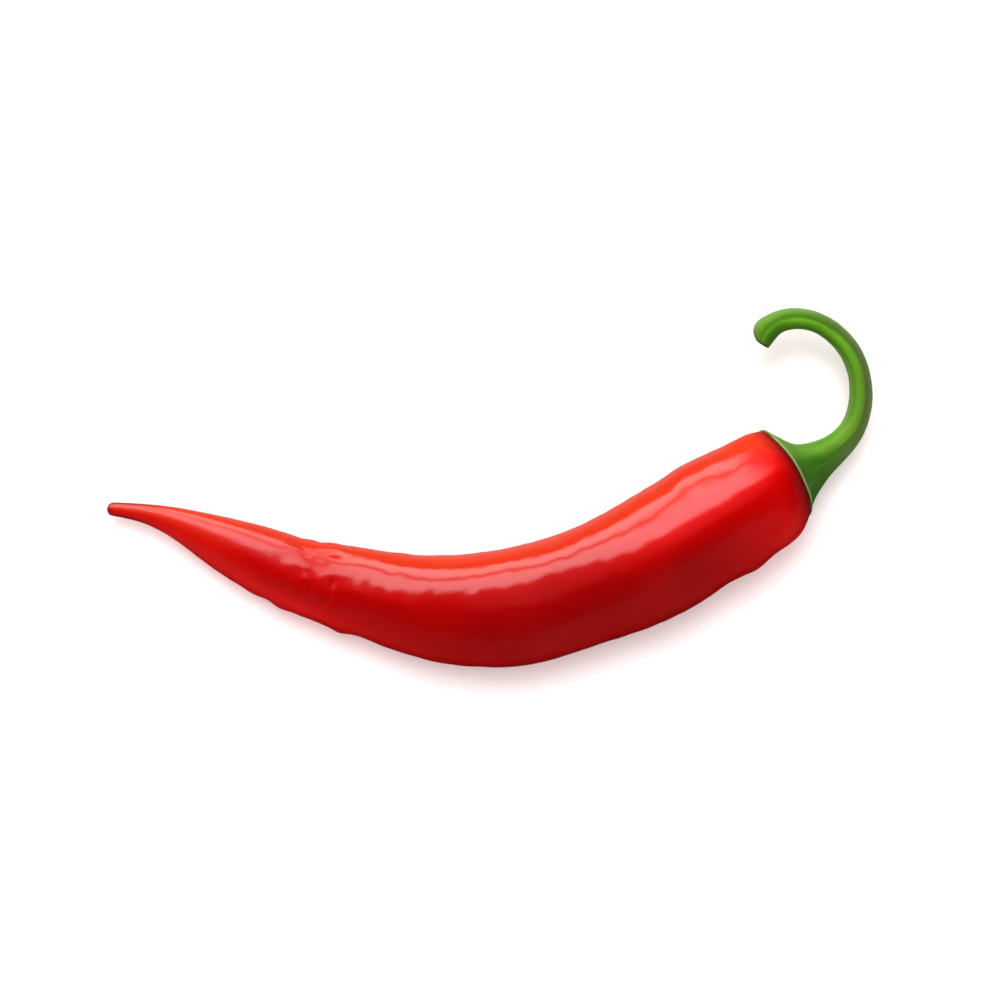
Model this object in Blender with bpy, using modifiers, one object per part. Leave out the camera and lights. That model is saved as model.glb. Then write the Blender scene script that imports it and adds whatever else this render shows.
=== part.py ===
"""Long red chilli pepper, lying on its side: a curved pod, and a green calyx with its hooked stem.

Metres, +Z up. The pod's bend lies level, +X runs from the tip to the stem, and the pod rests on
a narrow flat band at Z = 0. The origin is under the middle of the whole pepper's box.
"""

from math import cos, pi, radians, sin

import bmesh
import bpy
from mathutils import Matrix, Vector

MM = 0.001

# Driving dimensions, in millimetres
SIDES = 8  # points round each ring of a cage
DEPTH_SHARE = 0.95  # the pod is a little flatter top to bottom than side to side
FLAT_CUT = 0.35  # how much of the pod's round underside the flat band takes away
TIP_HEIGHT = 4.5  # the middle of the tip: the last part of the pod leaves the surface
RIM_HEADING = radians(29.5)  # the way the calyx faces, measured from +X towards +Y
RIM_DIP = radians(12)  # and how far it looks down
RIM_CENTRE = (47.4, 2.4, 7.9)
RIM_RADIUS = 8.0
RIM_WAVE = 0.75  # the rim reaches this much further up the stem above and below than at its sides
LIP = 0.35  # half the thickness of the calyx's edge
END_ROUNDING = 0.4  # at the cut end of the stem
UPRIGHT_FROM = 0.5  # rings this share of the calyx's width and less stand square to the stem
CUTTER_SIZE = (160, 80, 20)  # the block under Z = 0 that takes the flat band off
RED = (0.55, 0.004, 0.006)
RED_ROUGHNESS = 0.18
GREEN = (0.09, 0.22, 0.02)
GREEN_ROUGHNESS = 0.35
POD_LEVELS = 2
STEM_LEVELS = 1

# Pod, tip to shoulder: X, Y and half the width
POD = (
    (-61.4, -3.2, 0.7),
    (-60.5, -3.3, 1.1),
    (-56.4, -3.8, 1.4),
    (-51.5, -5.0, 2.2),
    (-45.5, -7.4, 3.5),
    (-38.5, -10.5, 5.0),
    (-31.4, -13.5, 5.9),
    (-24.0, -15.6, 6.7),
    (-16.6, -17.5, 7.4),
    (-9.0, -19.1, 8.45),
    (-1.4, -19.45, 9.25),
    (6.4, -18.5, 9.6),
    (13.8, -16.2, 9.5),
    (21.0, -13.6, 9.8),
    (27.9, -10.1, 10.1),
    (34.3, -6.1, 10.0),
    (41.0, -2.2, 9.6),
)
# The shoulder under the calyx: distance past the rim's plane, sideways shift and radius
SHOULDER = (
    (-3.2, -0.7, 9.3),
    (-1.5, -0.3, 8.7),
    (-0.5, 0.0, 7.2),
    (0.2, 0.0, 5.2),
    (0.5, 0.0, 2.6),
)
# The calyx's underside, from its middle out to its edge: distance past the rim's plane, radius
UNDERSIDE = (
    (0.8, 2.6),
    (0.55, 5.2),
    (0.12, 7.0),
)
# The outside from the calyx to the cut end of the stem: X, Y, Z and radius
STEM = (
    (48.4, 2.6, 7.7, 7.1),
    (49.5, 2.6, 7.5, 5.7),
    (51.1, 3.4, 7.3, 4.3),
    (53.0, 4.7, 7.0, 3.2),
    (55.6, 6.5, 6.8, 2.35),
    (58.2, 9.4, 6.9, 1.95),
    (59.4, 13.0, 7.2, 1.8),
    (59.5, 16.9, 7.7, 1.7),
    (58.5, 20.6, 8.3, 1.65),
    (56.3, 23.8, 8.9, 1.6),
    (53.2, 26.2, 9.5, 1.55),
    (49.6, 27.1, 10.0, 1.6),
    (46.4, 26.6, 10.4, 1.7),
    (44.4, 25.0, 10.6, 1.8),
    (43.7, 23.6, 10.7, 1.6),
)


def rim_axis():
    """The way the calyx faces."""
    level = cos(RIM_DIP)
    return Vector((cos(RIM_HEADING) * level, sin(RIM_HEADING) * level, -sin(RIM_DIP)))


def cage_scale():
    """Subdivision pulls a ring of SIDES points in by this much, so a cage is made larger."""
    return 6 / (4 + 2 * cos(2 * pi / SIDES))


def along(rows, index):
    """Direction of the line through the rows, at one of them."""
    before = Vector(rows[max(index - 1, 0)][:3])
    after = Vector(rows[min(index + 1, len(rows) - 1)][:3])
    return (after - before).normalized()


def ring(centre, axis, radius, depth_share=1.0, wave=0.0):
    """Points of one ring, from its +Y side round over the top."""
    side = Vector((0, 0, 1)).cross(axis).normalized()
    up = axis.cross(side)
    points = []
    for step in range(SIDES):
        angle = 2 * pi * step / SIDES
        out = side * cos(angle) + up * sin(angle) * depth_share
        lift = axis * wave * (1 - cos(2 * angle)) / 2
        points.append(Vector(centre) + out * radius * cage_scale() + lift)
    return points


def pod_rings():
    """Rings from the tip to the middle of the shoulder."""
    rows = []
    for x, y, radius in POD:
        resting = radius * DEPTH_SHARE - FLAT_CUT
        rows.append((x, y, max(resting, TIP_HEIGHT), radius))
    rings = [
        ring(row[:3], along(rows, index), row[3], DEPTH_SHARE)
        for index, row in enumerate(rows)
    ]
    axis = rim_axis()
    side = Vector((0, 0, 1)).cross(axis).normalized()
    for past, shift, radius in SHOULDER:
        centre = Vector(RIM_CENTRE) + axis * past + side * shift
        rings.append(ring(centre, axis, radius, DEPTH_SHARE))
    return rings


def stem_rings():
    """Rings from the middle of the calyx's underside, round its edge and up to the cut end."""
    axis = rim_axis()
    rim = Vector(RIM_CENTRE)
    rings = [
        ring(rim + axis * past, axis, radius, DEPTH_SHARE) for past, radius in UNDERSIDE
    ]
    for lift in (-LIP, LIP):
        rings.append(ring(rim + axis * lift, axis, RIM_RADIUS, DEPTH_SHARE, RIM_WAVE))
    first_radius = STEM[0][3]
    for index, row in enumerate(STEM):
        share = row[3] / first_radius
        blend = max(0.0, (share - UPRIGHT_FROM) / (1 - UPRIGHT_FROM))  # 1 at the rim, 0 on the stem
        heading = along(STEM, index).lerp(axis, blend).normalized()
        rings.append(ring(row[:3], heading, row[3], 1 - (1 - DEPTH_SHARE) * blend))
    heading = along(STEM, len(STEM) - 1)
    end = Vector(STEM[-1][:3]) + heading * END_ROUNDING
    rings.append(ring(end, heading, STEM[-1][3] - END_ROUNDING / 2))
    rings.append(ring(end, heading, STEM[-1][3] / 2))
    return rings


def set_out(rings):
    """Subdivision also rounds a cage off along its length, so each ring is moved out by as much."""
    moved = [rings[0]]
    for before, points, after in zip(rings, rings[1:], rings[2:]):
        moved.append([p - (b - 2 * p + a) / 6 for b, p, a in zip(before, points, after)])
    return moved + [rings[-1]]


def bounding_edges(cage):
    return [edge for edge in cage.edges if edge.is_boundary]


def loft(name, rings, levels, material, collection):
    """Closed cage through the rings, one extrusion after another, under a Subdivision modifier."""
    rings = set_out(rings)
    cage = bmesh.new()
    verts = bmesh.ops.create_circle(cage, segments=SIDES, radius=MM, cap_ends=True)["verts"]
    for vert, point in zip(verts, rings[0]):
        vert.co = point * MM
    for points in rings[1:]:
        made = bmesh.ops.extrude_edge_only(cage, edges=bounding_edges(cage))["geom"]
        fresh = {item for item in made if isinstance(item, bmesh.types.BMVert)}
        verts = [
            next(edge.other_vert(vert) for edge in vert.link_edges if edge.other_vert(vert) in fresh)
            for vert in verts
        ]
        for vert, point in zip(verts, points):
            vert.co = point * MM
    bmesh.ops.holes_fill(cage, edges=bounding_edges(cage))
    bmesh.ops.recalc_face_normals(cage, faces=cage.faces)
    mesh = bpy.data.meshes.new(name)
    cage.to_mesh(mesh)
    cage.free()
    mesh.shade_smooth()
    mesh.materials.append(material)
    piece = bpy.data.objects.new(name, mesh)
    collection.objects.link(piece)
    rounding = piece.modifiers.new("Rounding", "SUBSURF")
    rounding.levels = levels
    rounding.render_levels = levels
    return piece


def cut_flat(piece, collection):
    """Takes everything below Z = 0 off the piece, which leaves the band that it rests on."""
    size = Vector(CUTTER_SIZE) * MM
    bpy.ops.mesh.primitive_cube_add(size=1, location=(0, 0, -size.z / 2))
    cutter = bpy.context.object
    cutter.name = "surface_cutter"
    cutter.data.transform(Matrix.Diagonal((*size, 1)))
    cutter.hide_render = True
    cutter.display_type = "WIRE"
    for home in cutter.users_collection:
        home.objects.unlink(cutter)
    collection.objects.link(cutter)
    flat = piece.modifiers.new("Flat band", "BOOLEAN")
    flat.operation = "DIFFERENCE"
    flat.solver = "EXACT"
    flat.object = cutter


def principled(name, colour, roughness):
    material = bpy.data.materials.new(name)
    material.use_nodes = True
    shader = material.node_tree.nodes["Principled BSDF"]
    shader.inputs["Base Color"].default_value = (*colour, 1)
    shader.inputs["Roughness"].default_value = roughness
    shader.inputs["Metallic"].default_value = 0
    return material


def new_collection(name):
    collection = bpy.data.collections.new(name)
    bpy.context.scene.collection.children.link(collection)
    return collection


def main():
    for item in list(bpy.data.objects):
        bpy.data.objects.remove(item, do_unlink=True)
    pieces = new_collection("chilli_pepper")
    cutters = new_collection("cutters")
    red = principled("red_skin", RED, RED_ROUGHNESS)
    green = principled("green_stem", GREEN, GREEN_ROUGHNESS)
    pod = loft("pod", pod_rings(), POD_LEVELS, red, pieces)
    cut_flat(pod, cutters)
    loft("calyx_and_stem", stem_rings(), STEM_LEVELS, green, pieces)


main()
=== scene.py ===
import math

import bmesh
import bpy
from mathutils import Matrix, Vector, noise
from mathutils.bvhtree import BVHTree


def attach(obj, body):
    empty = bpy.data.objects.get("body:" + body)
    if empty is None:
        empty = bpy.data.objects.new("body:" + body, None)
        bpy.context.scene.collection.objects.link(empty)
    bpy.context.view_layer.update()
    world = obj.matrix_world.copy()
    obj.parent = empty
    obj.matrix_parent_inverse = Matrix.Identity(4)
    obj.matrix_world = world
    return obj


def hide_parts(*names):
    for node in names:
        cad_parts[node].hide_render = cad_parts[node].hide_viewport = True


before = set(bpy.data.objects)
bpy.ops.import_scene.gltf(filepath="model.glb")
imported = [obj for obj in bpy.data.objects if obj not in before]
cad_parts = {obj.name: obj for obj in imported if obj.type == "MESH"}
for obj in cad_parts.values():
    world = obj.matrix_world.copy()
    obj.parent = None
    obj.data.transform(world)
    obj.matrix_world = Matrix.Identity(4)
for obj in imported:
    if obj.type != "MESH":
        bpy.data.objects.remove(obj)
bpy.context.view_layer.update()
upWay = Vector((0, 0, 1))

# ---- shader maths: a socket that adds, multiplies and compares like a number


class Wire:
    def __init__(self, net, socket):
        self.net = net
        self.socket = socket

    def calc(self, operation, *others):
        return self.net.node("Math", {"operation": operation}, [self, *others])

    def __add__(self, other):
        return self.calc("ADD", other)

    def __sub__(self, other):
        return self.calc("SUBTRACT", other)

    def __rsub__(self, other):
        return self.net.node("Math", {"operation": "SUBTRACT"}, [other, self])

    def __mul__(self, other):
        return self.calc("MULTIPLY", other)

    def __truediv__(self, other):
        return self.calc("DIVIDE", other)

    __radd__ = __add__
    __rmul__ = __mul__

    # 0 up to low, 1 past high, smooth between; high may lie below low
    def rise(self, low, high):
        if high < low:
            return 1 - self.rise(high, low)
        settings = {"interpolation_type": "SMOOTHSTEP"}
        return self.net.node("MapRange", settings, [self, low, high, 0, 1])

    # 1 where it has come in over the first span and not yet gone out over the second
    def within(self, comesIn, goesOut):
        return self.rise(*comesIn) * self.rise(*goesOut)


class Net:
    def __init__(self, tree):
        self.tree = tree
        tree.nodes.clear()

    def node(self, kind, settings=None, inputs=None, output=0):
        made = self.tree.nodes.new("ShaderNode" + kind)
        for name, value in (settings or {}).items():
            setattr(made, name, value)
        pairs = inputs.items() if isinstance(inputs, dict) else enumerate(inputs or [])
        for place, value in pairs:
            if isinstance(value, Wire):
                self.tree.links.new(value.socket, made.inputs[place])
            else:
                made.inputs[place].default_value = value
        return Wire(self, made.outputs[output]) if made.outputs else None

    def mix(self, share, first, second):
        first, second = [(*c, 1) if isinstance(c, tuple) else c for c in (first, second)]
        inputs = {0: share, 6: first, 7: second}
        return self.node("Mix", {"data_type": "RGBA"}, inputs, output=2)

    def parts(self, vector):
        split = self.node("SeparateXYZ", None, [vector])
        return [Wire(self, socket) for socket in split.socket.node.outputs]

    # an attribute of the mesh, as a "Vector" or as a number, "Fac"
    def attribute(self, name, output):
        return self.node("Attribute", {"attribute_name": name}, output=output)

    # 0 to 1 noise over the unrolled skin, this fine along the piece and in the two ways round it
    def cloud(self, fineness, detail):
        where = [self.attribute("skin", "Vector"), fineness]
        where = self.node("VectorMath", {"operation": "MULTIPLY"}, where)
        return self.node("TexNoise", None, {"Vector": where, "Scale": 1, "Detail": detail})


# ---- camera, table and light

studio = {
    "lens": 200,
    "viewWidth": 0.160,  # what the picture takes in at the height of the pepper's middle
    "middleHeight": 0.009,
    "aim": (0.00184, -0.00184),  # the pepper lies a little up and to the left of the middle
    "tableSize": 6.0,
    "tableColour": (0.80, 0.80, 0.80),
    "tableRoughness": 0.9,
    "tableGlow": 0.13,  # share of the table's white that shines through it, as on a light table
    "glowColour": (1.0, 0.45, 0.43),  # reddish, which is what tints the shadow
    # one tall bright panel, seen in reflections only: its edges in degrees down from straight
    # above, and how soft they are
    "panelTop": 38,
    "panelTopSoft": 4,
    "panelDropTurn": (0, 25),  # between these degrees from +Y towards +X, its top drops
    "panelDrop": 30,  # by this much
    "panelDropSoft": 10,  # and gets this much softer
    "panelBottom": 95,
    "panelBottomSoft": 3,
    "panelMiddle": -22,  # degrees from +Y towards +X
    "panelHalfWidth": 46,
    "panelFade": 20,
    "panelLight": 4.1,
    "seam": 69.5,  # a darker line across the panel
    "seamHalf": 7.5,
    "seamTurn": (18, 6),  # it comes in between these degrees from +Y towards +X
    "seamDepth": 1.0,
    # the rest of the surroundings, as parts of a direction of length 1
    "horizon": (-0.02, 0.02),
    "skyLight": 0.01,
    "lowLight": 0.36,  # seen in reflections under the horizon, towards +Y
    "lowAside": (-0.1, 0.4),
    "lowDown": (-0.2, -0.8),
    # broad lamps that leave no highlight: what they light, degrees from +Y towards +X, degrees
    # down from straight above, spread in degrees, strength
    "lamps": (
        ("all", -10, 18, 36, 0.48),
        ("pepper", -22, 72, 60, 1.0),
        ("pepper", 150, 80, 60, 0.35),
        ("pepper", -150, 80, 60, 0.22),
        ("table", -10, 24, 24, 0.25),
        ("table", 0, 0, 150, 0.92),
    ),
}


def makeCamera(look):
    data = bpy.data.cameras.new("camera")
    data.lens = look["lens"]
    distance = look["viewWidth"] * look["lens"] / data.sensor_width
    camera = bpy.data.objects.new("camera", data)
    camera.location = (*look["aim"], look["middleHeight"] + distance)
    bpy.context.scene.collection.objects.link(camera)
    bpy.context.scene.camera = camera


def makeTable(look):
    shape = bmesh.new()
    bmesh.ops.create_grid(shape, x_segments=1, y_segments=1, size=look["tableSize"] / 2)
    mesh = bpy.data.meshes.new("table")
    shape.to_mesh(mesh)
    shape.free()
    table = bpy.data.objects.new("table", mesh)
    bpy.context.scene.collection.objects.link(table)
    table.visible_glossy = False
    material = bpy.data.materials.new("table_white")
    material.use_nodes = True
    net = Net(material.node_tree)
    shader = net.node("BsdfPrincipled", None, {
        "Base Color": (*look["tableColour"], 1),
        "Roughness": look["tableRoughness"],
        "Emission Color": (*look["glowColour"], 1),
        "Emission Strength": look["tableGlow"],
    })
    net.node("OutputMaterial", None, [shader])
    mesh.materials.append(material)
    return table


def makeLight(look):
    world = bpy.data.worlds.new("studio")
    bpy.context.scene.world = world
    world.use_nodes = True
    world.cycles_visibility.diffuse = False  # the lamps do the shading
    net = Net(world.node_tree)
    x, y, z = net.parts(net.node("TexCoord", None, None, output=0))
    down = z.calc("ARCCOSINE") * (180 / math.pi)
    turn = x.calc("ARCTAN2", y) * (180 / math.pi)
    aside = (turn - look["panelMiddle"]).calc("ABSOLUTE")
    dropped = turn.rise(*look["panelDropTurn"])
    topEdge = dropped * look["panelDrop"] + look["panelTop"]
    topSoft = dropped * look["panelDropSoft"] + look["panelTopSoft"]
    panel = ((down - topEdge) / topSoft).rise(-1, 1)
    bottom, soft = look["panelBottom"], look["panelBottomSoft"]
    panel = panel * down.rise(bottom + soft, bottom - soft)
    wide, fade = look["panelHalfWidth"], look["panelFade"]
    panel = panel * aside.rise(wide + fade, wide - fade)
    seam = (down - look["seam"]).calc("ABSOLUTE").rise(look["seamHalf"], 0)
    seam = seam * turn.rise(*look["seamTurn"]) * look["seamDepth"]
    above = z.rise(*look["horizon"])
    low = y.rise(*look["lowAside"]) * z.rise(*look["lowDown"]) * look["lowLight"]
    light = panel * (1 - seam) * look["panelLight"] + above * look["skyLight"] + (1 - above) * low
    seen = net.node("LightPath", None, None, output="Is Camera Ray")
    shade = net.node("Background", None, {
        "Color": (1, 1, 1, 1),
        "Strength": seen + (1 - seen) * light,
    })
    net.node("OutputWorld", None, [shade])


# a lamp lights everything, the table alone, or the pepper alone, which is all but the table
def makeLamp(table, lit, aside, down, spread, strength):
    lamp = bpy.data.objects.new("lamp", bpy.data.lights.new("lamp", "SUN"))
    lamp.data.energy = strength * math.pi
    lamp.data.angle = math.radians(spread)
    lamp.rotation_euler = (-math.radians(down), 0, -math.radians(aside))
    lamp.visible_glossy = False
    bpy.context.scene.collection.objects.link(lamp)
    if lit == "all":
        return
    reached = bpy.data.collections.new("lit_" + lit)
    reached.objects.link(table)
    for member in reached.collection_objects:
        member.light_linking.link_state = "INCLUDE" if lit == "table" else "EXCLUDE"
    lamp.light_linking.receiver_collection = reached


makeCamera(studio)
whiteTable = makeTable(studio)
makeLight(studio)
for lamp in studio["lamps"]:
    makeLamp(whiteTable, *lamp)
bpy.context.scene.view_settings.view_transform = "Standard"
print("studio ready")

# ---- reading the solids and drawing cages over them

settlings = 3  # how many times a stop is moved to the middle of its section


def sideAndTop(heading):
    side = upWay.cross(heading).normalized()
    return side, heading.cross(side)


def solidOf(node):
    shape = bmesh.new()
    shape.from_mesh(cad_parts[node].data)
    sameSpot = 1e-7
    bmesh.ops.remove_doubles(shape, verts=shape.verts, dist=sameSpot)
    return shape


# points of the solid's skin round one stop, from the +Y side over the top
def skinRing(tree, middle, heading, ways, tilt=0.0):
    side, top = sideAndTop(heading)
    points = []
    for way in range(ways):
        angle = 2 * math.pi * way / ways
        out = side * math.cos(angle) + top * math.sin(angle)
        out = out * math.cos(tilt) + heading * math.sin(tilt)
        points.append(tree.ray_cast(middle, out)[0])
    return points


# a smooth surface lies inside its cage by a sixth of the cage's bend at each point, so the cage
# is moved out by as much
def setOut(rings):
    ways = len(rings[0])
    around = []
    for ring in rings:
        around.append([
            point - (ring[way - 1] - 2 * point + ring[(way + 1) % ways]) / 6
            for way, point in enumerate(ring)
        ])
    moved = [around[0]]
    for before, ring, after in zip(around, around[1:], around[2:]):
        moved.append([p - (b - 2 * p + a) / 6 for b, p, a in zip(before, ring, after)])
    return moved + [around[-1]]


def freshVerts(made):
    return {item for item in made["geom"] if isinstance(item, bmesh.types.BMVert)}


# extrudes a cage from ring to ring; each vertex keeps how far along and which way round it is
def drawCage(rings, distances):
    ways = len(rings[0])
    shape = bmesh.new()
    layers = [shape.verts.layers.float.new(name) for name in ("along", "inside", "top")]
    verts = bmesh.ops.create_circle(shape, segments=ways, radius=1, cap_ends=True)["verts"]
    for index, (ring, distance) in enumerate(zip(rings, distances)):
        if index:
            edges = [edge for edge in shape.edges if edge.is_boundary]
            fresh = freshVerts(bmesh.ops.extrude_edge_only(shape, edges=edges))
            verts = [
                next(e.other_vert(v) for e in v.link_edges if e.other_vert(v) in fresh)
                for v in verts
            ]
        for way, (vert, point) in enumerate(zip(verts, ring)):
            angle = 2 * math.pi * way / ways
            vert.co = point
            for layer, value in zip(layers, (distance, math.cos(angle), math.sin(angle))):
                vert[layer] = value
    bmesh.ops.holes_fill(shape, edges=[edge for edge in shape.edges if edge.is_boundary])
    bmesh.ops.recalc_face_normals(shape, faces=shape.faces)
    return shape


# the cage as an object, rounded off and with its modifier applied
def roundedPiece(name, shape, levels):
    mesh = bpy.data.meshes.new(name)
    shape.to_mesh(mesh)
    shape.free()
    piece = bpy.data.objects.new(name, mesh)
    bpy.context.scene.collection.objects.link(piece)
    rounding = piece.modifiers.new("rounding", "SUBSURF")
    rounding.levels = levels
    rounding.render_levels = levels
    graph = bpy.context.evaluated_depsgraph_get()
    rounded = bpy.data.meshes.new_from_object(piece.evaluated_get(graph))
    piece.modifiers.clear()
    piece.data = rounded
    bpy.data.meshes.remove(mesh)
    rounded.name = name
    rounded.shade_smooth()
    return piece


def readLayer(mesh, name):
    values = [0.0] * len(mesh.vertices)
    mesh.attributes[name].data.foreach_get("value", values)
    return values


# moves every vertex along its normal, and stores where on the skin it is, unrolled, as "skin"
def carve(piece, relief, girth):
    mesh = piece.data
    along, inside, top = [readLayer(mesh, name) for name in ("along", "inside", "top")]
    skin = mesh.attributes.new("skin", "FLOAT_VECTOR", "POINT")
    normals = [vert.normal.copy() for vert in mesh.vertices]
    for index, vert in enumerate(mesh.vertices):
        length = math.hypot(inside[index], top[index]) or 1
        toInside, toTop = inside[index] / length, top[index] / length
        vert.co += normals[index] * relief(vert.co, along[index], toInside, toTop)
        skin.data[index].vector = (along[index], toInside * girth, toTop * girth)
    mesh.update()


# how far each ring is from the first, along the skin
def runningLength(rings):
    distances = [0.0]
    for before, after in zip(rings, rings[1:]):
        steps = [(b - a).length for a, b in zip(before, after)]
        distances.append(distances[-1] + sum(steps) / len(steps))
    return distances


# -1 to 1 noise over the skin, this fine along the piece and round it, from this far into it
def skinNoise(along, inside, top, lengthwise, around, shift):
    return noise.noise(Vector((along * lengthwise, inside * around + shift, top * around)))


# 0 up to low, 1 past high, smooth between; high may lie below low
def smoothStep(value, low, high):
    share = min(max((value - low) / (high - low), 0), 1)
    return share * share * (3 - 2 * share)


# ---- the calyx and its stem

stem = {
    "ways": 16,
    "step": 0.0009,
    "lastStep": 1.1,  # the walk ends where fewer steps than this are left
    "levels": 3,
    "startDepth": 0.0001,  # the walk starts this far under the skin
    "neckRadius": 0.0031,  # the calyx is taken to begin where the stem gets this thick
    "underBehind": 0.003,  # the calyx's underside lies at least this far behind the neck
    "underFacing": 0.25,  # and faces away from it at least this squarely
    "calyxRings": 5,
    "calyxStart": 0.0011,  # how far from its edge they begin
    "girth": 0.0017,
    "lip": 0.00017,  # half the thickness of the calyx's edge
    # from the underside round the edge: share of the way out from the middle, height in lips
    "lipTurns": (
        (0.35, 0.5), (0.8, 0.1), (0.95, -1.2),
        (0.99, -0.8), (1.0, 0.0), (0.985, 0.9),
    ),
    "rimShare": 0.965,  # a little less than the solid's edge, so that it lies flush with the pod
    "rimWave": 0.0003,  # the edge reaches this much further up the stem above and below
    "cutLean": 0.0013,  # as the end shrinks, it moves this much towards its inner side
    "cutLeanMost": 0.45,  # up to this share
    # round the rim of the cut end and into its face: millimetres past the end, share of the end
    "cutRim": (
        (-1.2, 0.985), (-0.5, 0.88), (0.0, 0.70),
        (-0.04, 0.62), (-0.3, 0.55), (-0.42, 0.3),
    ),

    # relief and colour. A pair says between which values something comes in. Lip and neck are
    # metres from the calyx's edge and from the neck, towards the cut end. Cut is metres before
    # the cut end. Across is -1 on the outer side of the hook to 1 on its inner side
    "ridges": 5,
    "ridgePower": 0.7,  # below 1 it makes round ribs with narrow grooves
    "ridgeSink": 0.7,  # share of their height that they are all lowered by
    "firstGroove": 34,  # degrees from the inner side of the hook, over the top
    "grooveTwist": 18,  # degrees more on the upright part of the stem
    "twistNeck": (0.001, 0.010),
    "twistCut": (0.011, 0.020),
    "ridgeHeight": 0.00011,
    "ridgeNeck": (-0.004, 0.006),
    "ridgeCut": (0, 0.0015),
    "calyxRibHeight": 0.00014,
    "calyxRibLip": (0.0012, 0.005),
    "calyxRibNeck": (0.008, 0.004),
    "innerAcross": (0.2, 0.7),  # the ribs are fainter on the inner side
    "innerFade": 0.5,
    "ripple": 0.00005,
    "rippleFineness": (330, 1.2, 0),  # along the skin, round it, how far into the noise
    "outerGrowth": 0.00022,  # the outer side stands out by this much more
    "knob": (0.0024, 0.0013, 0.00035),  # a swelling there: metres before the end, length, height

    "ribColour": (0.150, 0.360, 0.026),
    "hookColour": (0.180, 0.530, 0.018),  # the ribs towards the cut end
    "hookCut": (0.026, 0.012),
    # painted shade: the grooves, the hook's inner side and more of the hook by the cut end are
    # painted in this darker green; the mottling uses it too
    "grooveColour": (0.055, 0.175, 0.006),
    "grooveShare": 0.8,
    "grooveWidth": (0.1, 1.0),
    "hookShadeShare": 0.65,  # the inner side of the hook is as dark as the grooves
    "hookShadeAcross": (0.1, 0.65),
    "endShadeShare": 0.8,  # and so is more of it by the cut end
    "endShadeCut": (0.008, 0.003),
    "endShadeAcross": (-0.4, 0.35),
    # partly the stem's own duller tone, partly painted shade on the outer side of the hook
    "outerColour": (0.115, 0.175, 0.045),
    "outerShare": 0.9,
    "outerAcross": (0.0, -0.65),
    "endColour": (0.115, 0.270, 0.018),  # on the outer side, by the cut end
    "endCut": (0.014, 0.006),
    # painted rim light along both sides of the stem
    "rimLightColour": (0.210, 0.300, 0.110),  # at the very side of the stem
    "paleShare": 0.7,
    "paleOuter": (-0.6, -1.0),
    "paleInner": (0.6, 1.0),
    "paleNeck": (0.004, 0.010),
    # painted shade: the calyx is painted darker away from its inner side, and a little darker on
    # its inner side too
    "calyxColour": (0.038, 0.155, 0.007),  # on the calyx, away from its bright inner rib
    "calyxNeck": (0.004, -0.003),
    "calyxAcross": (0.45, 0.0),
    "calyxShare": 0.7,
    "calyxInnerShare": 0.18,
    "patchFineness": (220, 420, 420),
    "patchShare": 0.35,
    "patchRise": (0.4, 0.8),
    "streakColour": (0.20, 0.42, 0.06),
    "streakFineness": (180, 1900, 1900),
    "streakShare": 0.3,
    "streakRise": (0.5, 0.8),
    "lipColour": (0.37, 0.45, 0.15),
    "lipShare": 0.85,
    "lipWidth": (0.00045, 0.0001),
    "lipOuter": (-0.95, -0.5),
    "lipInner": (0.98, 0.7),
    "cutColour": (0.040, 0.060, 0.014),
    "cutEdge": (0.0001, -0.0002),

    "grainFineness": (900, 5200, 5200),
    "grainShare": 0.4,  # the streaks give the rest of the fine relief
    "grainHeight": 0.00005,
    "grainStrength": 0.35,
    "roughness": 0.42,
    "patchRoughness": 0.12,
    "cutRoughness": 0.3,
    "ior": 1.4,
    "gloss": 0.18,
}


# walks along the stem from one point in its middle, as far as it stays slim
def stemWalk(tree, start, heading):
    middles = []
    here = start
    while True:
        for _ in range(settlings):
            for way in sideAndTop(heading):
                ends = [tree.ray_cast(here, sign * way)[0] for sign in (1, -1)]
                here = (ends[0] + ends[1]) / 2
            if middles:
                heading = (here - middles[-1]).normalized()
        if (ends[0] - ends[1]).length / 2 > stem["neckRadius"]:
            return middles
        middles.append(here.copy())
        ahead = tree.ray_cast(here, heading)[3]
        if ahead is not None and ahead < stem["step"] * stem["lastStep"]:
            return middles
        here = here + heading * stem["step"]


def eased(points):
    inner = [(a + 2 * b + c) / 4 for a, b, c in zip(points, points[1:], points[2:])]
    return [points[0], *inner, points[-1]]


def headings(points):
    ahead = points[1:] + points[-1:]
    behind = points[:1] + points[:-1]
    return [(a - b).normalized() for a, b in zip(ahead, behind)]


# the middle line from the neck of the calyx to the cut end, walked from the outermost point
def stemStops(tree, solid):
    outermost = max(solid.verts, key=lambda vert: vert.co.x)
    inward = Vector((-outermost.normal.x, -outermost.normal.y, 0)).normalized()
    start = outermost.co + inward * stem["startDepth"]
    start = (start + tree.ray_cast(start, inward)[0]) / 2
    toCut, toNeck = [stemWalk(tree, start, sign * upWay.cross(inward)) for sign in (-1, 1)]
    middles = eased(toNeck[:0:-1] + toCut)
    return list(zip(middles, headings(middles)))


# the calyx's edge: its points, and the way that it faces, read off the solid's underside
def rimOf(solid, neck, heading):
    under = [
        face for face in solid.faces
        if (face.calc_center_median() - neck).dot(heading) < -stem["underBehind"]
        and face.normal.dot(heading) < -stem["underFacing"]
    ]
    facing = -sum((face.normal * face.calc_area() for face in under), Vector()).normalized()
    known = set(under)
    edges = [e for face in under for e in face.edges if len(known.intersection(e.link_faces)) == 1]
    return facing, list(dict.fromkeys(vert for edge in edges for vert in edge.verts))


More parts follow.
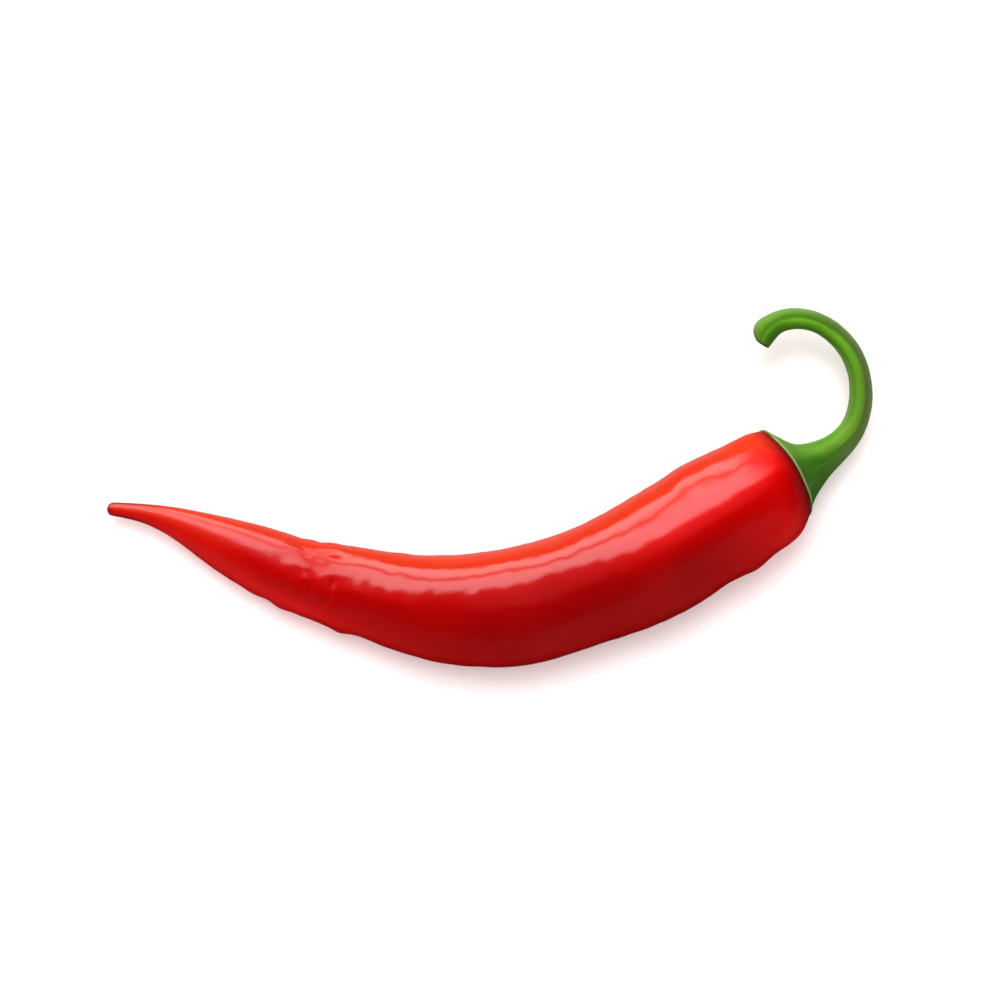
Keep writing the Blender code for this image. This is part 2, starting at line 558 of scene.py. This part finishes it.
# the middle of the calyx's edge, and the rings that turn round the edge to the outside
def lipRings(rim, facing):
    ways = stem["ways"]
    middle = sum((vert.co for vert in rim), Vector()) / len(rim)
    side, top = sideAndTop(facing)
    edge = []
    for way in range(ways):
        angle = 2 * math.pi * way / ways
        out = side * math.cos(angle) + top * math.sin(angle)
        point = max((v.co for v in rim), key=lambda co: (co - middle).normalized().dot(out))
        point = middle + (point - middle) * stem["rimShare"]
        edge.append(point + facing * stem["rimWave"] * math.sin(angle) ** 2)
    rings = [
        [middle + (point - middle) * share + facing * lift * stem["lip"] for point in edge]
        for share, lift in stem["lipTurns"]
    ]
    return middle, rings


# the rings of the cut end, which lies this far past the middle of the last ring: a rounded rim,
# and the slightly sunken face inside it
def cutRings(last, middle, heading, reach):
    side = sideAndTop(heading)[0]
    rings = []
    for lift, share in stem["cutRim"]:
        here = middle + side * stem["cutLean"] * min(1 - share, stem["cutLeanMost"])
        here += heading * (reach + lift / 1000)
        rings.append([here + (point - middle) * share for point in last])
    return rings


def makeStem():
    solid = solidOf("calyx_and_stem")
    tree = BVHTree.FromBMesh(solid)
    stops = stemStops(tree, solid)
    neck, neckHeading = stops[0]
    end, endHeading = stops[-1]
    facing, rim = rimOf(solid, neck, neckHeading)
    rimMiddle, rings = lipRings(rim, facing)
    lipRing = stem["lipTurns"].index((1.0, 0.0))
    base = rimMiddle + facing * stem["calyxStart"]
    for index in range(stem["calyxRings"]):
        share = index / stem["calyxRings"]
        heading = facing.lerp(neckHeading, share).normalized()
        rings.append(skinRing(tree, base.lerp(neck, share), heading, stem["ways"]))
    neckRing = len(rings)
    for middle, heading in stops:
        rings.append(skinRing(tree, middle, heading, stem["ways"]))
    # the cut end's first ring lies behind the last stop's, and takes its place
    last = rings.pop()
    cutRing = len(rings) + [lift for lift, _ in stem["cutRim"]].index(0.0)
    rings += cutRings(last, end, endHeading, tree.ray_cast(end, endHeading)[3])
    distances = runningLength(rings)
    lipAlong, neckAlong, cutAlong = distances[lipRing], distances[neckRing], distances[cutRing]
    solid.free()
    piece = roundedPiece("calyx_with_stem", drawCage(setOut(rings), distances), stem["levels"])

    def relief(place, along, inside, top):
        fromLip, fromNeck, toCut = along - lipAlong, along - neckAlong, cutAlong - along
        twist = stem["grooveTwist"] * smoothStep(fromNeck, *stem["twistNeck"])
        twist *= smoothStep(toCut, *stem["twistCut"])
        angle = math.atan2(top, inside) - math.radians(stem["firstGroove"] + twist)
        ridge = abs(math.sin(angle * stem["ridges"] / 2)) ** stem["ridgePower"] - stem["ridgeSink"]
        ridge *= 1 - stem["innerFade"] * smoothStep(inside, *stem["innerAcross"])
        onStem = smoothStep(fromNeck, *stem["ridgeNeck"]) * smoothStep(toCut, *stem["ridgeCut"])
        onCalyx = smoothStep(fromLip, *stem["calyxRibLip"]) * (1 - onStem)
        onCalyx *= smoothStep(fromNeck, *stem["calyxRibNeck"])
        height = ridge * (stem["ridgeHeight"] * onStem + stem["calyxRibHeight"] * onCalyx)
        ripple = skinNoise(along, inside, top, *stem["rippleFineness"]) * stem["ripple"]
        height += ripple * max(onStem, onCalyx)
        before, length, swelling = stem["knob"]
        swelling *= math.exp(-((toCut - before) / length) ** 2)
        return height + (stem["outerGrowth"] * onStem + swelling) * max(-inside, 0)

    carve(piece, relief, stem["girth"])
    piece.data.materials.append(stemSkin(lipAlong, neckAlong, cutAlong))
    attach(piece, "root")
    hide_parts("calyx_and_stem")
    print("stem", len(piece.data.polygons), "faces,", round(cutAlong * 1000, 1), "mm of skin")
    return piece


def stemSkin(lipAlong, neckAlong, cutAlong):
    material = bpy.data.materials.new("green_stem_skin")
    material.use_nodes = True
    net = Net(material.node_tree)
    along, inside, top = net.parts(net.attribute("skin", "Vector"))
    fromNeck, toCut = along - neckAlong, cutAlong - along
    twist = toCut.rise(*stem["twistCut"]) * fromNeck.rise(*stem["twistNeck"])
    groove = (twist * stem["grooveTwist"] + stem["firstGroove"]) * (math.pi / 180)
    angle = top.calc("ARCTAN2", inside) - groove
    inside = inside / stem["girth"]
    grooveShade = (angle * stem["ridges"]).calc("COSINE").rise(*stem["grooveWidth"])
    streaks = net.cloud(stem["streakFineness"], 4)
    patches = net.cloud(stem["patchFineness"], 2)
    hook = toCut.rise(*stem["hookCut"])
    cut = toCut.rise(*stem["cutEdge"])

    # ribs, and painted shade in the grooves, on the hook's inner side and by the cut end
    colour = net.mix(hook, stem["ribColour"], stem["hookColour"])
    faint = inside.rise(*stem["innerAcross"]) * (1 - hook) * stem["innerFade"]
    colour = net.mix(grooveShade * (stem["grooveShare"] - faint), colour, stem["grooveColour"])
    shade = hook * inside.rise(*stem["hookShadeAcross"]) * stem["hookShadeShare"]
    colour = net.mix(shade, colour, stem["grooveColour"])
    shade = toCut.rise(*stem["endShadeCut"]) * inside.rise(*stem["endShadeAcross"])
    colour = net.mix(shade * stem["endShadeShare"], colour, stem["grooveColour"])

    # the outer side, partly own duller tone and partly painted shade; painted rim light at the
    # very sides; painted shade on the calyx
    outer = net.mix(toCut.rise(*stem["endCut"]), stem["outerColour"], stem["endColour"])
    colour = net.mix(inside.rise(*stem["outerAcross"]) * stem["outerShare"], colour, outer)
    paintedRimLight = inside.rise(*stem["paleOuter"]) + inside.rise(*stem["paleInner"]) * (1 - hook)
    paintedRimLight = paintedRimLight * stem["paleShare"] * fromNeck.rise(*stem["paleNeck"])
    colour = net.mix(paintedRimLight, colour, stem["rimLightColour"])
    calyx = inside.rise(*stem["calyxAcross"]) * stem["calyxShare"] + stem["calyxInnerShare"]
    calyx = calyx * fromNeck.rise(*stem["calyxNeck"])
    colour = net.mix(calyx, colour, stem["calyxColour"])

    # mottling, the calyx's edge and the cut face
    mottled = patches.rise(*stem["patchRise"]) * stem["patchShare"]
    colour = net.mix(mottled, colour, stem["grooveColour"])
    streaked = streaks.rise(*stem["streakRise"]) * stem["streakShare"]
    colour = net.mix(streaked, colour, stem["streakColour"])
    lip = (along - lipAlong).calc("ABSOLUTE").rise(*stem["lipWidth"])
    lip = lip * inside.within(stem["lipOuter"], stem["lipInner"]) * stem["lipShare"]
    colour = net.mix(lip, colour, stem["lipColour"])
    colour = net.mix(cut, colour, stem["cutColour"])

    grain = net.cloud(stem["grainFineness"], 3)
    bump = net.node("Bump", None, {
        "Strength": stem["grainStrength"],
        "Distance": stem["grainHeight"],
        "Height": grain * stem["grainShare"] + streaks * (1 - stem["grainShare"]),
    })
    rough = patches * stem["patchRoughness"] + cut * stem["cutRoughness"] + stem["roughness"]
    shader = net.node("BsdfPrincipled", None, {
        "Base Color": colour,
        "Roughness": rough,
        "IOR": stem["ior"],
        "Specular IOR Level": stem["gloss"],
        "Normal": bump,
    })
    net.node("OutputMaterial", None, [shader])
    return material


stemPiece = makeStem()

# ---- the pod

pod = {
    "ways": 16,
    "step": 0.002,
    "lastStep": 1.9,  # the walk ends where fewer steps than this are left
    "levels": 3,
    "depthShare": 0.95,  # how far its middle lies under its top, as a share of half its width
    "tipInset": 0.0022,  # the walk starts this far from the tip
    "tipHeading": (1, -0.12, 0),
    # the rings that close the two ends, fanned out from the first stop and the last: degrees
    "tipFan": (-82, -60, -38, -18),
    "shoulderFan": (14, 24, 32, 40, 52, 68, 82),
    "girth": 0.0095,
    "tableGap": 0.00002,
    "reach": 0.0026,  # skin this near the calyx is drawn half of the way to it, nearer skin fully
    "reachPower": 4,
    "calyxGap": 0.00003,

    # relief and colour. A pair says between which values something comes in. Along is the share
    # of the way from the tip to the calyx. Across is -1 on the outer side of the bend to 1 on
    # its inner side
    "reliefTip": (0.03, 0.35),
    "reliefEnd": (1.0, 0.97),
    "reliefEndLeast": 0.35,
    # height of the blunt crest near the tip, in the middle and at the shoulder, and where along
    # the pod it changes
    "ridge": (0.00012, -0.00030, 0.00070),
    "ridgeTurns": ((0.36, 0.47), (0.58, 0.80)),
    "ridgeWidth": 24,  # degrees to each side
    "ridgeSink": 0.66,  # share of the height that the whole upper side is lowered by
    "ripple": 0.00012,
    "rippleFineness": (160, 1.6, 0),  # along the skin, round it, how far into the noise
    "wrinkle": 0.00007,
    "wrinkleFineness": (500, 3.6, 11),
    "wrinkledShoulder": (0.88, 0.96),
    "shoulderWrinkles": 1.5,
    "dentedPatch": (-0.0272, 0.0042, 2.6),  # x, length, how much more it is wrinkled
    # x, degrees from the inner side over the top, length, width, height
    "bumps": (
        (-0.0440, 180, 0.0050, 0.005, 0.00032),
        (-0.0378, 180, 0.0018, 0.004, 0.00020),
        (-0.0358, 180, 0.0013, 0.004, -0.00014),
        (-0.0335, 180, 0.0016, 0.004, 0.00030),
        (-0.0240, 180, 0.0020, 0.004, 0.00042),
        (-0.0218, 180, 0.0013, 0.004, -0.00010),
        (0.0380, 180, 0.0016, 0.004, -0.00014),
        (0.0428, 175, 0.0019, 0.004, 0.00046),
        (0.0462, 175, 0.0015, 0.004, -0.00012),
        (0.0480, 180, 0.0060, 0.005, 0.00020),
        (-0.0290, 20, 0.0028, 0.005, -0.00024),
        (-0.0205, 15, 0.0030, 0.005, 0.00012),
        (0.0098, 10, 0.0035, 0.005, -0.00022),
        (0.0272, 15, 0.0024, 0.005, -0.00020),
        (0.0302, 15, 0.0020, 0.005, 0.00030),
        (0.0330, 25, 0.0022, 0.004, 0.00026),
        (0.0440, 15, 0.0030, 0.005, 0.00020),
        (-0.0273, 55, 0.0016, 0.0017, -0.00024),
        (-0.0310, 48, 0.0014, 0.0014, 0.00014),
        (-0.0240, 42, 0.0020, 0.0012, -0.00014),
        (0.0440, 50, 0.0018, 0.0020, -0.00016),
    ),

    # partly the pod's own tone, partly painted shade and light: the outer side is darker in the
    # middle and lighter towards the tip and the shoulder
    "outerColour": (0.385, 0.0010, 0.0016),
    "endColour": (0.78, 0.0008, 0.0010),  # on the outer side, towards the tip and the shoulder
    "endTip": (0.56, 0.22),
    "endShoulder": (0.76, 0.96),
    # painted shade
    "sideShadeColour": (0.38, 0.0006, 0.0010),  # a darker band between the crest and the outer side
    "sideShare": 0.55,
    "sideAcross": ((-0.85, -0.45), (0.15, -0.15)),
    "sideAlong": ((0.12, 0.26), (0.52, 0.40)),
    # painted light and shade along the crest: a little darker in the middle, lighter towards the
    # shoulder and the tip
    "crestColour": (0.58, 0.0014, 0.0016),
    "crestAcross": (-0.45, 0.28),
    "crestShift": 0.18,  # in the middle it lies further in by this much
    "bellyColour": (0.56, 0.0012, 0.0016),  # along the crest, in the middle
    "bellyAlong": ((0.3, 0.42), (0.80, 0.62)),
    "brightColour": (0.80, 0.0016, 0.0016),  # along the crest, towards the shoulder
    "brightAlong": (0.62, 0.82),
    "tipColour": (0.80, 0.020, 0.006),  # along the crest, towards the tip
    "tipAcross": (-0.6, 0.2),
    "tipAlong": (0.22, 0.1),
    "innerColour": (0.68, 0.034, 0.004),
    "innerAcross": (0.35, 1.0),
    "streakColour": (0.46, 0.001, 0.003),
    "streakFineness": (40, 420, 420),
    "streakShare": 0.25,
    "blotchColour": (0.70, 0.006, 0.003),
    "blotchFineness": (90, 110, 110),
    "blotchShare": 0.2,
    "mottleRise": (0.5, 0.8),
    # painted shade where the skin turns away
    "edgeShadeColour": (0.24, 0.0006, 0.0012),  # round the tip, and low on the outer side
    "edgeShare": 0.7,
    "edgeAcross": (0.5, 0.85),
    "edgeAlong": (0.09, 0.03),
    "edgeTip": (0.014, 0.005),
    "edgeOuterShare": 0.3,
    "edgeOuter": (-0.86, -1.0),
    # painted shade by the calyx, darker in two steps: metres from it, less far on the inner side
    "shoulderShadeColour": (0.17, 0.0008, 0.0015),
    "shoulderAcross": (-0.2, 0.9),
    "shoulderStreaks": 0.0012,
    "shoulderWide": (0.0064, 0.0014),
    "shoulderWideShare": 0.6,
    "shoulderClose": (0.0030, 0.0008),
    "shoulderCloseShare": 0.35,

    "grainFineness": (2600, 2600, 2600),
    "grainShare": 0.15,  # the streaks give the rest of the fine relief
    "grainHeight": 0.00012,
    "grainStrength": 0.25,
    "ior": 1.5,
    "roughness": 0.14,
    "blotchRoughness": 0.04,
    "tipRoughness": 0.05,
    "tipRoughAlong": (0.4, 0.15),
    "gloss": 0.5,
    # the dull skin by the calyx, metres from it, and in spots of the dented patch
    "dullRoughness": 0.35,
    "dullGloss": 0.05,
    "dullReach": (0.0120, 0.0050),
    "dullBlotches": 0.005,
    "dentedAlong": ((0.21, 0.26), (0.34, 0.28)),
    "dentedRise": (0.42, 0.58),
    "dentedShare": 0.55,
}


# the middle line from the tip to the shoulder
def podStops(tree):
    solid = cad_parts["pod"].data
    tip = min((vert.co for vert in solid.vertices), key=lambda co: co.x)
    here = Vector(tip) + Vector((pod["tipInset"], 0, 0))
    ends = [tree.ray_cast(here, Vector((0, sign, 0)))[0] for sign in (1, -1)]
    here = (ends[0] + ends[1]) / 2
    heading = Vector(pod["tipHeading"]).normalized()
    stops = []
    while True:
        side = sideAndTop(heading)[0]
        for _ in range(settlings):
            left, right = tree.ray_cast(here, side)[0], tree.ray_cast(here, -side)[0]
            here = (left + right) / 2
            roof = tree.ray_cast(here, upWay)[0]
            here.z = roof.z - (left - right).length / 2 * pod["depthShare"]
        if stops:
            turn = here - stops[-1][0]
            heading = Vector((turn.x, turn.y, 0)).normalized()
        stops.append((here.copy(), heading))
        ahead = tree.ray_cast(here, heading)[0]
        if (ahead - here).length < pod["step"] * pod["lastStep"]:
            return stops
        here = here + heading * pod["step"]


# how much more the skin is wrinkled by the shoulder, and in one dented patch nearer the tip
def wrinkling(place, share):
    x, length, amount = pod["dentedPatch"]
    patch = amount * math.exp(-((place.x - x) / length) ** 2)
    return 1 + pod["shoulderWrinkles"] * smoothStep(share, *pod["wrinkledShoulder"]) + patch


# how far the listed bumps and dents move the skin at one place
def bumps(place, angle):
    height = 0
    for x, heading, length, width, amount in pod["bumps"]:
        turn = math.remainder(angle - math.radians(heading), 2 * math.pi)
        across = turn * pod["girth"] / width
        height += amount * math.exp(-((place.x - x) / length) ** 2 - across ** 2)
    return height


# how far the blunt crest along the pod's upper side moves the skin at one place
def crestHeight(share, angle, top):
    tipRidge, middleRidge, shoulderRidge = pod["ridge"]
    toMiddle, toShoulder = pod["ridgeTurns"]
    height = tipRidge + (middleRidge - tipRidge) * smoothStep(share, *toMiddle)
    height += (shoulderRidge - middleRidge) * smoothStep(share, *toShoulder)
    across = math.remainder(math.degrees(angle) - 90, 360) / pod["ridgeWidth"]
    return (math.exp(-across ** 2) - pod["ridgeSink"] * max(top, 0) ** 2) * height


def makePod(calyx):
    solid = solidOf("pod")
    tree = BVHTree.FromBMesh(solid)
    stops = podStops(tree)
    rings = [
        skinRing(tree, *stops[0], pod["ways"], math.radians(tilt))
        for tilt in pod["tipFan"]
    ]
    for middle, heading in stops:
        rings.append(skinRing(tree, middle, heading, pod["ways"]))
    for tilt in pod["shoulderFan"]:
        rings.append(skinRing(tree, *stops[-1], pod["ways"], math.radians(tilt)))
    distances = runningLength(rings)
    solid.free()
    piece = roundedPiece("chilli_pod", drawCage(setOut(rings), distances), pod["levels"])
    total = distances[-1]

    def relief(place, along, inside, top):
        share = along / total
        angle = math.atan2(top, inside)
        least = pod["reliefEndLeast"]
        body = least + (1 - least) * smoothStep(share, *pod["reliefEnd"])
        body *= smoothStep(share, *pod["reliefTip"])
        ripple = skinNoise(along, inside, top, *pod["rippleFineness"]) * pod["ripple"]
        wrinkle = skinNoise(along, inside, top, *pod["wrinkleFineness"]) * pod["wrinkle"]
        wrinkle *= wrinkling(place, share)
        return body * (crestHeight(share, angle, top) + ripple + wrinkle) + bumps(place, angle)

    carve(piece, relief, pod["girth"])
    fitToCalyx(piece, calyx)
    piece.data.materials.append(podSkin(total))
    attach(piece, "root")
    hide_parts("pod")
    print("pod", len(piece.data.polygons), "faces,", round(total * 1000, 1), "mm along its bend")


# swells the shoulder until it meets the calyx, and stores how near the calyx each vertex is
def fitToCalyx(piece, calyx):
    shape = bmesh.new()
    shape.from_mesh(calyx.data)
    tree = BVHTree.FromBMesh(shape)
    shape.free()
    near = piece.data.attributes.new("near", "FLOAT", "POINT")
    for index, vert in enumerate(piece.data.vertices):
        vert.co.z = max(vert.co.z, pod["tableGap"])
        spot, _, _, distance = tree.find_nearest(vert.co)
        pull = 1 / (1 + (distance / pod["reach"]) ** pod["reachPower"])
        near.data[index].value = distance * (1 - pull)
        vert.co += (spot - vert.co) * pull * max(1 - pod["calyxGap"] / distance, 0)
    piece.data.update()


def podSkin(total):
    material = bpy.data.materials.new("red_pod_skin")
    material.use_nodes = True
    net = Net(material.node_tree)
    along, inside, _ = net.parts(net.attribute("skin", "Vector"))
    near = net.attribute("near", "Fac")
    share = along / total
    inside = inside / pod["girth"]
    streaks = net.cloud(pod["streakFineness"], 4)
    blotches = net.cloud(pod["blotchFineness"], 2)

    # the outer side, darker in the middle and lighter towards the ends, partly own tone and partly
    # painted shade and light; and the painted shade band beside it
    ends = share.rise(*pod["endTip"]) + share.rise(*pod["endShoulder"])
    colour = net.mix(ends, pod["outerColour"], pod["endColour"])
    sideShadeBand = inside.within(*pod["sideAcross"]) * share.within(*pod["sideAlong"])
    colour = net.mix(sideShadeBand * pod["sideShare"], colour, pod["sideShadeColour"])

    # the crest, a little darker in its middle and with painted light towards the tip and the
    # shoulder, and the inner side
    middle = share.within(*pod["bellyAlong"])
    crest = net.mix(middle, pod["crestColour"], pod["bellyColour"])
    crest = net.mix(share.rise(*pod["brightAlong"]), crest, pod["brightColour"])
    onCrest = (inside - middle * pod["crestShift"]).rise(*pod["crestAcross"])
    colour = net.mix(onCrest, colour, crest)
    tip = inside.rise(*pod["tipAcross"]) * share.rise(*pod["tipAlong"])
    colour = net.mix(tip, colour, pod["tipColour"])
    colour = net.mix(inside.rise(*pod["innerAcross"]), colour, pod["innerColour"])

    # mottling, painted shade round the edges and painted shade by the calyx
    streaked = streaks.rise(*pod["mottleRise"]) * pod["streakShare"]
    colour = net.mix(streaked, colour, pod["streakColour"])
    blotched = blotches.rise(*pod["mottleRise"]) * pod["blotchShare"]
    colour = net.mix(blotched, colour, pod["blotchColour"])
    edge = inside.calc("ABSOLUTE").rise(*pod["edgeAcross"]) * share.rise(*pod["edgeAlong"])
    edge = (edge + share.rise(*pod["edgeTip"])).calc("MINIMUM", 1) * pod["edgeShare"]
    edge = edge + inside.rise(*pod["edgeOuter"]) * pod["edgeOuterShare"]
    colour = net.mix(edge, colour, pod["edgeShadeColour"])
    away = near * (1 + inside.rise(*pod["shoulderAcross"])) + streaks * pod["shoulderStreaks"]
    shade = away.rise(*pod["shoulderWide"]) * pod["shoulderWideShare"]
    shade = shade + away.rise(*pod["shoulderClose"]) * pod["shoulderCloseShare"]
    colour = net.mix(shade, colour, pod["shoulderShadeColour"])

    grain = net.cloud(pod["grainFineness"], 3)
    bump = net.node("Bump", None, {
        "Strength": pod["grainStrength"],
        "Distance": pod["grainHeight"],
        "Height": grain * pod["grainShare"] + streaks * (1 - pod["grainShare"]),
    })
    rough = blotches * pod["blotchRoughness"] + pod["roughness"]
    rough = rough + share.rise(*pod["tipRoughAlong"]) * pod["tipRoughness"]
    glossy, dull = [
        net.node("BsdfPrincipled", None, {
            "Base Color": colour,
            "Roughness": roughness,
            "IOR": pod["ior"],
            "Specular IOR Level": level,
            "Normal": bump,
        })
        for roughness, level in ((rough, pod["gloss"]), (pod["dullRoughness"], pod["dullGloss"]))
    ]
    dullness = (near + blotches * pod["dullBlotches"]).rise(*pod["dullReach"])
    dented = share.within(*pod["dentedAlong"]) * blotches.rise(*pod["dentedRise"])
    dullness = dullness.calc("MAXIMUM", dented * pod["dentedShare"])
    net.node("OutputMaterial", None, [net.node("MixShader", None, [dullness, glossy, dull])])
    return material


makePod(stemPiece)
